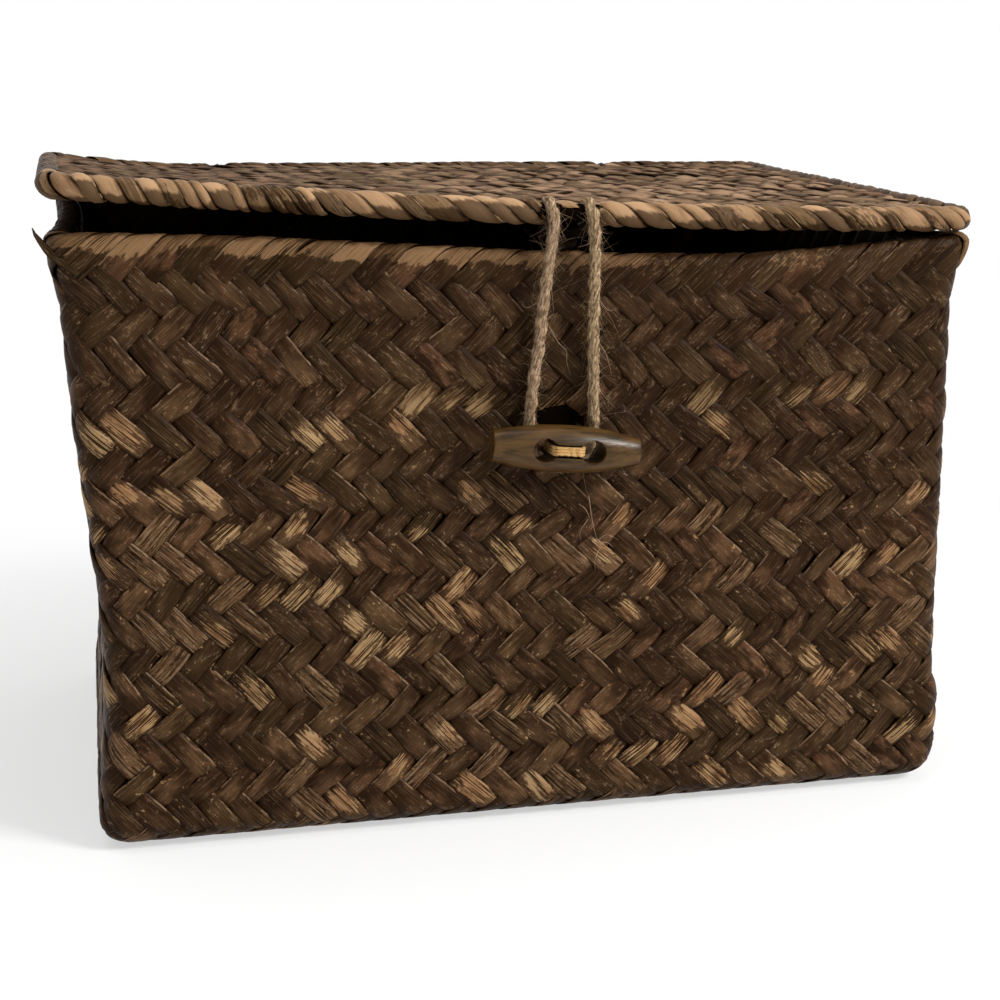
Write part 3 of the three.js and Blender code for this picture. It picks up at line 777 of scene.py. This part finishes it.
# Two directions across a line, carried along it without twisting
def carriedFrames(line):
    tangent = np.gradient(line, axis=0)
    tangent /= np.linalg.norm(tangent, axis=1)[:, None]
    first = np.cross(tangent[0], (0.31, 0.9, 0.2))
    across = [first / np.linalg.norm(first)]
    for t in tangent[1:]:
        n = across[-1] - t * np.dot(across[-1], t)
        across.append(n / np.linalg.norm(n))
    across = np.array(across)
    return tangent, across, np.cross(tangent, across)


# Even turns round a circle
def circle(count):
    return np.linspace(0, 2 * np.pi, count, endpoint=False)


# Points out from a line, at angles between its two directions
def outAt(angle, across, over):
    return np.cos(angle)[..., None] * across + np.sin(angle)[..., None] * over


# Faces between rings of points
def ringFaces(rings, sides):
    base = np.arange(rings * sides).reshape(rings, sides)
    beside = np.roll(base, -1, axis=1)
    return np.stack([base[:-1], beside[:-1], beside[1:], base[1:]], axis=-1).reshape(-1, 4)


# A tube's points and faces, and for each point its place along the tube and its turn round it
def tube(line, radii, sides):
    across, over = carriedFrames(line)[1:]
    angle = circle(sides)
    radii = np.broadcast_to(radii, len(line))[:, None, None]
    points = line[:, None] + radii * outAt(angle, across[:, None], over[:, None])
    rows = np.repeat(np.arange(len(line)), sides)
    return points.reshape(-1, 3), ringFaces(len(line), sides), rows, np.tile(angle, len(line))


# One piece out of several tubes
def joined(name, tubes):
    points, faces, grain = zip(*tubes)
    starts = np.cumsum([0] + [len(part) for part in points])
    faces = [part + start for part, start in zip(faces, starts)]
    return newPiece(name, np.vstack(points), np.vstack(faces), {"grain": np.vstack(grain)})


# Plied twine along a smooth line
def rope(name, points, look, closed=False):
    line, at = smoothLine(points, look.step, closed)
    across, over = carriedFrames(line)[1:]
    outer = look.diameter / 2
    plyRadius = outer * look.round
    plies = []
    for k in range(look.plies):
        angle = 2 * np.pi * (at / look.pitch + k / look.plies) + 0.5 * np.sin(at / 7)
        away = (outer - plyRadius) * (1 + 0.25 * np.sin(at * 0.9 + k) + 0.15 * np.sin(at * 2.3))
        centre = line + away[:, None] * outAt(angle, across, over)
        radii = plyRadius * (1 + 0.07 * np.sin(at * 1.7 + 2 * k) + 0.05 * np.sin(at * 4.3 + k))
        points, faces, row, turn = tube(centre, radii, 12)
        points = points + rng.normal(0, 0.035, points.shape) * outer
        plies.append((points, faces, np.stack([at[row], turn, np.full(len(points), 10.0 * k)], axis=1)))
    return joined(name, plies), line, at[-1]


def fibrePiece(name, hairs, width):
    tubes = []
    for hair in hairs:
        points, faces, row, turn = tube(hair, width * np.linspace(1.15, 0.15, len(hair)), 3)
        seed = np.full(len(points), rng.uniform(20, 90))
        tubes.append((points, faces, np.stack([row * 0.5, turn, seed], axis=1)))
    return joined(name, tubes)


# Loose fibres that stand off a twine, pressed flat behind the toggle and clear of its stitch
def fuzz(name, line, outer):
    look = Look(perMm=7.0, length=3.0, width=0.06, bare=46, wall=-87.5,
            stitch=(4.3, 109.7), keepOff=4.7, behind=8.5, back=-90.0)
    tangent, across, over = carriedFrames(line)
    length = np.linalg.norm(np.diff(line, axis=0), axis=1).sum()
    hairs = []
    for n in range(int(look.perMm * length)):
        i = rng.integers(look.bare, len(line) - look.bare)
        out = outAt(rng.uniform(0, 2 * np.pi), across[i], over[i])
        side = np.cross(tangent[i], out)
        way = tangent[i] * rng.choice([-1, 1]) * rng.uniform(0.5, 1.2) + out * rng.gamma(1.2, 0.3)
        way = way + side * rng.normal(0, 0.35)
        bend = rng.normal(0, 0.35, 3)
        reach = look.length * rng.gamma(2.2, 0.42)
        t = np.linspace(0, 1, 7)[:, None]
        hair = line[i] + out * (outer * 0.92) + reach * (t * way + t ** 2 * bend)
        toStitch = np.hypot(hair[:, 0] - look.stitch[0], hair[:, 2] - look.stitch[1])
        if toStitch.min() < look.keepOff:
            continue
        low = np.where(toStitch < look.behind, look.back, -np.inf)
        hair[:, 1] = np.maximum(np.minimum(hair[:, 1], look.wall), low)
        hairs.append(hair)
    return fibrePiece(name, hairs, look.width)


def twineMaterial(name, look):
    material, tree, shader = newMaterial(name, 0.85, 0.1)
    grain = attribute(tree, "grain")
    fibre = grain.noise((0.5, 2.4, 1), 4.0, 0.65)
    blotch = grain.noise((0.12, 0.3, 1), 2.0)
    pale = fibre.above(0.35, 0.66)
    layers = [(blotch.above(0.5, 0.7) * 0.5, look.stain)]
    if "half" in look:  # yellower on the loop's right half, dark under the lid
        # The twine's ends under the lid are painted dark: painted shade under the lid
        away = grain.part(0) - look.half
        under = (away * away).above((look.half - 15) ** 2, (look.half - 12) ** 2)
        layers += [(away.above(-8, 8) * 0.28, pale.mix(look.dark, look.yellow)), (under, look.hidden)]
    paint(pale.mix(look.dark, look.pale), layers).feed(shader, "Base Color")
    bump(shader, fibre, 0.35 * mm)
    return material


juteLook = Look(dark=(88, 66, 44), pale=(188, 160, 128), stain=(140, 114, 82))
jute = twineMaterial("jute_twine", juteLook)
paleCord = twineMaterial("pale_cord", Look(dark=(165, 122, 68), pale=(226, 186, 126), stain=(192, 150, 92)))
darkTwine = twineMaterial("dark_twine", Look(dark=(34, 24, 15), pale=(62, 46, 31), stain=(46, 33, 22)))
twineLook = Look(step=0.5, plies=2, diameter=3.4, pitch=12.5, round=0.8)

# The closing loop's route, in mm: down the left strand, round the toggle, up the right
loopRoute = [
    (1.6, -91.5, 172), (1.5, -91.4, 167), (1, -91, 163), (0.3, -90.8, 157.7), (-0.9, -90.2, 147),
    (-1.6, -89.8, 138), (-2.7, -89.4, 130.5), (-3.6, -88.9, 121), (-4, -88.5, 114.5), (-3.2, -88.4, 109.3),
    (-0.6, -88.4, 105.5), (5, -88.4, 103.4), (10.7, -88.4, 105.4), (13.4, -88.4, 109.2), (14.2, -88.5, 114.5),
    (14.1, -88.9, 121), (13.8, -89.4, 130.5), (13.5, -89.9, 141), (13.5, -90.3, 148.5), (13.4, -90.8, 157.7),
    (13.1, -91.3, 166.5), (12.7, -91.5, 171.5),
]
# Where the loop leaves the edge roll, in metres
bendAt = Look(start=(0.007, -0.08665, 0.1755), end=(0.007, -0.09307, 0.17357))
knotAt = (7.15, -74.4, 163.9)


# Over the edge roll, from the hole in the lid to the front, in mm
def overRoll(x):
    centreY = -lid.depth / 2 + rollRadius
    under = float(lidHeight(np.array(x - lid.middle), np.array(centreY)))
    reach = rollRadius - twineDeep + twineLook.diameter / 2
    points = [(x, centreY + reach + 1.0, under - 0.9), (x, centreY + reach + 0.6, under + 1.6)]
    for a in range(0, 180, 30):
        t = math.radians(a)
        points.append((x, centreY + reach * math.cos(t), under + rollRadius + reach * math.sin(t)))
    return points


# Gives a twine piece its material and bakes its place into its points
def bendOver(piece, material):
    piece.data.materials.append(material)
    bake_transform(piece)


left = [knotAt, (4.6, -77.4, 166.2)] + overRoll(twineAt[0])
right = [knotAt, (9.8, -77.4, 166.0)] + overRoll(twineAt[1])
loop, line, length = rope("closing_twine", left + loopRoute + right[::-1], twineLook)
closingLook = Look(juteLook, pale=(188, 160, 130), yellow=(200, 176, 124), hidden=(24, 16, 9),
                   half=length / 2)
bendOver(loop, twineMaterial("closing_jute", closingLook))
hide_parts("closing_loop", "closing_knot")
loopFuzz = fuzz("closing_twine_fibres", line, twineLook.diameter / 2)
bendOver(loopFuzz, jute)
print("closing twine", round(length), "mm")

# Loose jute: long strays off the strands, and a tuft caught in the weave below the toggle
strays = {
    "twine_strays": [
        [(0.6, -91, 142.5), (3.8, -89.6, 137.8), (6.1, -89, 135.5), (6.4, -88.8, 132.2), (7.6, -88.4, 128.6)],
        [(12.4, -92.6, 166), (10.6, -92.8, 164.4), (8, -92.4, 163.6)],
        [(-1, -91.2, 150), (-5.2, -89.8, 147.5), (-7, -89.4, 149.5)],
        [(14.6, -91, 138), (17.4, -89.6, 134), (19.2, -88.8, 128.5)],
        [(14, -91.2, 150), (17.6, -89.8, 146.4), (20.4, -89.2, 146.8)],
        [(13.8, -90.6, 128), (16, -89.4, 124), (20.5, -88.8, 119)],
    ],
    "caught_fibres": [
        [(13.6, -87.2, 94.5), (13.9, -88.3, 90.5), (14.6, -88.5, 86.5), (16.3, -88.6, 80.4),
         (17.8, -88, 77.2)],
        [(10.8, -87.4, 92.2), (12.4, -88.6, 90.8), (14.4, -88.6, 86.4)],
        [(16.2, -88, 81), (18.6, -88.9, 81.2), (20.6, -88.4, 79.6)],
        [(15.9, -88, 81.6), (18.8, -88.9, 83.4), (22.2, -88.2, 81.4)],
        [(16.6, -88.2, 79.4), (15.2, -88.8, 76), (15.6, -88.2, 73.2)],
        [(13.2, -88, 88), (10.8, -88.8, 84.6), (11.2, -88.2, 82)],
    ],
}
strayStep, strayWidth = 0.6, 0.17
loose = {name: fibrePiece(name, [smoothLine(route, strayStep)[0] for route in routes], strayWidth)
         for name, routes in strays.items()}
bendOver(loose["twine_strays"], jute)
dress(loose["caught_fibres"], jute, "basket", "twine")

# Hinge rings round the rim and the lid's back edge
ringLook = Look(twineLook, diameter=2.6, pitch=7.5, y=86, z=171.9, deep=9.2, high=7.6)
turns = circle(15)
for name, x in zip(("left", "right"), ringsAt):
    around = np.stack([x + 0 * turns, ringLook.y + ringLook.deep * np.cos(turns),
                       ringLook.z + ringLook.high * np.sin(turns)], axis=1)
    ring = rope("hinge_twine_" + name, around, ringLook, closed=True)[0]
    dress(ring, darkTwine, "basket", "twine", "hinge_tie_" + name)

# Toggle
toggleLook = Look(
    place=(4.3, -95.83, 109.7), tilt=5, length=41.6, height=13, depth=11,
    left=8.7, right=7.6, hole=3.2, spacing=13.6, sink=1.1, groove=2.0, soften=0.25,
)


def placeToggle(piece):
    at = Matrix.Translation(Vector(toggleLook.place) * mm)
    piece.data.transform(at @ Matrix.Rotation(math.radians(toggleLook.tilt), 4, "Y"))


# Turns an outline round an axis: the outline is pairs of place along the axis and radius
def turned(name, outline, sides, axis, at=(0, 0, 0), squash=1.0):
    outline = np.array(outline, float)
    angle = circle(sides)
    a, r = outline[:, 0][:, None] + 0 * angle, outline[:, 1][:, None]
    first, second = r * np.cos(angle) * squash, r * np.sin(angle)
    points = np.stack([a, first, second] if axis == "X" else [second, a, first], axis=-1).reshape(-1, 3)
    piece = newPiece(name, points + np.array(at), ringFaces(len(outline), sides))
    work = bmesh.new()
    work.from_mesh(piece.data)
    work.verts.ensure_lookup_table()
    work.faces.new(work.verts[:sides][::-1])
    work.faces.new(work.verts[-sides:])
    bmesh.ops.recalc_face_normals(work, faces=work.faces)
    work.to_mesh(piece.data)
    work.free()
    return piece


def applied(piece, kind, **settings):
    modifier = piece.modifiers.new(kind.lower(), kind)
    for key, value in settings.items():
        setattr(modifier, key, value)
    bpy.context.view_layer.objects.active = piece
    bpy.ops.object.modifier_apply(modifier=modifier.name)


def makeToggle():
    look = toggleLook
    half, middle = look.length / 2, look.height / 2
    ends = {-1: look.left / 2, 1: look.right / 2}
    outline = [(t * (half - 0.5), middle - (middle - ends[-1 if t < 0 else 1]) * t ** 2)
               for t in np.linspace(-1, 1, 41)]
    for side, end in ends.items():
        cap = [(half - 0.15, end - 0.15), (half, end - 0.6), (half + 0.02, end * 0.5)]
        cap = [(side * at, radius) for at, radius in cap]
        outline = cap[::-1] + outline if side < 0 else outline + cap
    barrel = turned("wooden_toggle", outline, 72, "X", squash=look.depth / look.height)
    hole = [(y, look.hole + wider) for y, wider in (
        (-6.2, 1.3), (-5.4, 0.55), (-4.7, 0.15), (-3.9, 0), (3.9, 0), (4.7, 0.15), (5.4, 0.5), (6.2, 1.2))]
    cutters = [turned("hole", hole, 40, "Y", (side * look.spacing / 2, 0, 0)) for side in (-1, 1)]
    groove = [(-look.spacing / 2, look.groove), (look.spacing / 2, look.groove)]
    cutters.append(turned("groove", groove, 32, "X", (0, -look.depth / 2 + look.sink, 0)))
    for cutter in cutters:
        applied(barrel, "BOOLEAN", operation="DIFFERENCE", solver="EXACT", object=cutter)
        bpy.data.objects.remove(cutter)
    applied(barrel, "BEVEL", width=look.soften * mm, segments=2, limit_method="ANGLE",
            angle_limit=math.radians(35))
    barrel.data.shade_smooth()
    barrel.data.set_sharp_from_angle(angle=math.radians(50))
    # Painted shade inside the holes: deep rises to 1 on the hole walls past the front face, where the wood is
    # painted near black
    at = np.array([corner.co[:] for corner in barrel.data.vertices]) / mm
    toHole = np.hypot(np.abs(at[:, 0]) - look.spacing / 2, at[:, 2])
    deep = smooth((at[:, 1] + look.depth / 2 - 0.7) / 1.5) * (toHole < look.hole + 0.4)
    barrel.data.attributes.new("deep", "FLOAT", "POINT").data.foreach_set("value", deep)
    placeToggle(barrel)
    return barrel


def woodMaterial():
    material, tree, shader = newMaterial("dark_wood", 0.3, 0.2)
    place = addNode(tree, "TexCoord", {}, "Object")
    grain = place.noise((60, 700, 500), 4.0, 0.6)
    fine = place.noise((160, 2600, 2200), 3.0, 0.6)
    cloud = place.noise((90, 160, 160))
    colour = paint(grain.above(0.3, 0.7).mix((44, 29, 9), (84, 60, 28)), [
        (cloud.above(0.5, 0.66) * 0.4, (98, 66, 34)),
        (fine.above(0.6, 0.7) * 0.35, (20, 12, 4)),
        # painted shade inside the holes
        (attribute(tree, "deep").part(0) * 0.85, (8, 5, 2)),
    ])
    colour.feed(shader, "Base Color")
    (cloud * 0.3 + 0.16).feed(shader, "Roughness")
    bump(shader, grain * 0.6 + fine * 0.4, 0.12 * mm)
    return material


dress(makeToggle(), woodMaterial(), "toggle", "dark_wood", "toggle")


# Places along a knot about a place; order says which of its three waves each axis takes
def knotLine(place, size, swell, order):
    t = circle(32)
    wide = 1 + swell * np.cos(3 * t)
    waves = [np.cos(2 * t) * wide, np.sin(2 * t) * wide, np.sin(3 * t)]
    return np.array(place) + np.array(size) * np.stack([waves[k] for k in order], axis=1)


# Stitch: three strands side by side across the toggle, through its holes and the wall, knotted inside
def makeStitch():
    look = Look(twineLook, diameter=1.1, pitch=3.6, step=0.25, wall=-86.33, apart=0.86)
    wallFront = look.wall - toggleLook.place[1]
    inside = wallFront + body.wall
    strand = toggleLook.spacing / 2 - toggleLook.hole + 0.75
    back = toggleLook.depth / 2
    front = toggleLook.sink - back
    half = [(0.8, inside + 1.5), (0.8, wallFront + 0.6), (1.1, wallFront - 0.7), (strand - 0.5, back - 0.2),
            (strand, back - 2.5), (strand, front + 3), (strand - 0.1, front + 1.4),
            (strand - 0.7, front + 0.3), (strand - 1.8, front - 0.1)]
    pieces = []
    for k in range(3):
        offset = (k - 1) * look.apart
        level = [(x, y, offset * (1 - 0.45 * (y > wallFront)) + 0.08 * math.sin(3 * x + k)) for x, y in half]
        route = level + [(-x, y, z) for x, y, z in level[::-1]]
        pieces.append(rope("toggle_stitch_%d" % (k + 1), route, look)[0])
    knot = knotLine((0, inside + 2.7, 0), (3.0, 1.3, 2.6), 0.35, (0, 2, 1))
    pieces.append(rope("toggle_knot", knot, Look(look, diameter=2.0, pitch=5.0), closed=True)[0])
    for piece in pieces:
        placeToggle(piece)
    return pieces


for k, piece in enumerate(makeStitch()):
    dress(piece, paleCord, "toggle", "pale_cord", *(["toggle_stitch"] if k == 0 else []))

# Knot under the lid where the closing twine's two ends meet
knot = rope("closing_twine_knot", knotLine(knotAt, (3.4, 2.4, 1.4), 0.3, (0, 1, 2)),
            Look(twineLook, diameter=2.8), closed=True)[0]
dress(knot, darkTwine, "lid", "twine")
print("toggle, stitch and knots made")


# Rays that show the background: seen straight, in a gloss or through glass
def backgroundRays(tree):
    straight = addNode(tree, "LightPath", {}, "Is Camera Ray")
    found = straight.socket.node.outputs
    return straight + Wire(tree, found["Is Glossy Ray"]) + Wire(tree, found["Is Transmission Ray"])


# Floor, which turns plain white away from the box
def makeFloor():
    look = Look(reach=6000, below=0.4, grey=0.92, start=0.15, end=0.45, near=0.55)
    far = look.reach
    points = [(x, y, -look.below) for x, y in ((-far, -far), (far, -far), (far, far), (-far, far))]
    floor = newPiece("floor", points, [[0, 1, 2, 3]])
    material, tree, shader = newMaterial("pale_floor", 0.9, 0.0)
    shader.inputs["Base Color"].default_value = (look.grey, look.grey, look.grey, 1)
    place = addNode(tree, "NewGeometry", {}, "Position")
    away = addNode(tree, "VectorMath", {0: place}, "Value", operation="LENGTH")
    white = addNode(tree, "Emission", {"Color": (1, 1, 1, 1), "Strength": 1.0})
    bright = away.above(look.start, look.end) * (1 - look.near) + look.near
    bright = bright * backgroundRays(tree)
    plain = Wire(tree, shader.outputs["BSDF"])
    ground = addNode(tree, "MixShader", {0: bright, 1: plain, 2: white})
    ground.feed(tree.nodes["Material Output"], "Surface")
    floor.data.materials.append(material)


def areaLight(name, place, target, size, power):
    data = bpy.data.lights.new(name, "AREA")
    data.size, data.energy = size, power
    lamp = bpy.data.objects.new(name, data)
    lamp.location = place
    lamp.rotation_euler = (Vector(target) - Vector(place)).to_track_quat("-Z", "Y").to_euler()
    bpy.context.scene.collection.objects.link(lamp)


makeFloor()
areaLight("soft_key", (1.05, -0.92, 1.1), (0, 0, 0.08), 0.45, 28)
areaLight("soft_top", (-0.2, 0.1, 1.6), (0, 0, 0.1), 1.4, 8)

# World: a plain soft room, which shows as white
world = bpy.data.worlds.new("studio")
bpy.context.scene.world = world
world.use_nodes = True
tree = world.node_tree
tree.nodes.clear()
room = addNode(tree, "Background", {"Color": (1, 0.99, 0.98, 1), "Strength": 0.5})
white = addNode(tree, "Background", {"Color": (1, 1, 1, 1), "Strength": 1.0})
lit = addNode(tree, "MixShader", {0: backgroundRays(tree), 1: room, 2: white})
lit.feed(tree.nodes.new("ShaderNodeOutputWorld"), "Surface")


# Camera: stands a little left of the box, looks right and down; angles in degrees
def aimCamera():
    look = Look(place=(-0.1268, -0.5578, 0.1990), yaw=13.73, pitch=12.18, roll=0.19, lens=64.8)
    yaw, pitch, roll = (math.radians(look[key]) for key in ("yaw", "pitch", "roll"))
    aim = Matrix.Rotation(-yaw, 4, "Z") @ Matrix.Rotation(math.pi / 2 - pitch, 4, "X")
    data = bpy.data.cameras.new("camera")
    data.lens, data.sensor_width, data.clip_start = look.lens, 36, 0.01
    eye = bpy.data.objects.new("camera", data)
    eye.matrix_world = Matrix.Translation(look.place) @ aim @ Matrix.Rotation(roll, 4, "Z")
    bpy.context.scene.collection.objects.link(eye)
    bpy.context.scene.camera = eye


aimCamera()
bpy.context.scene.view_settings.view_transform = "Standard"
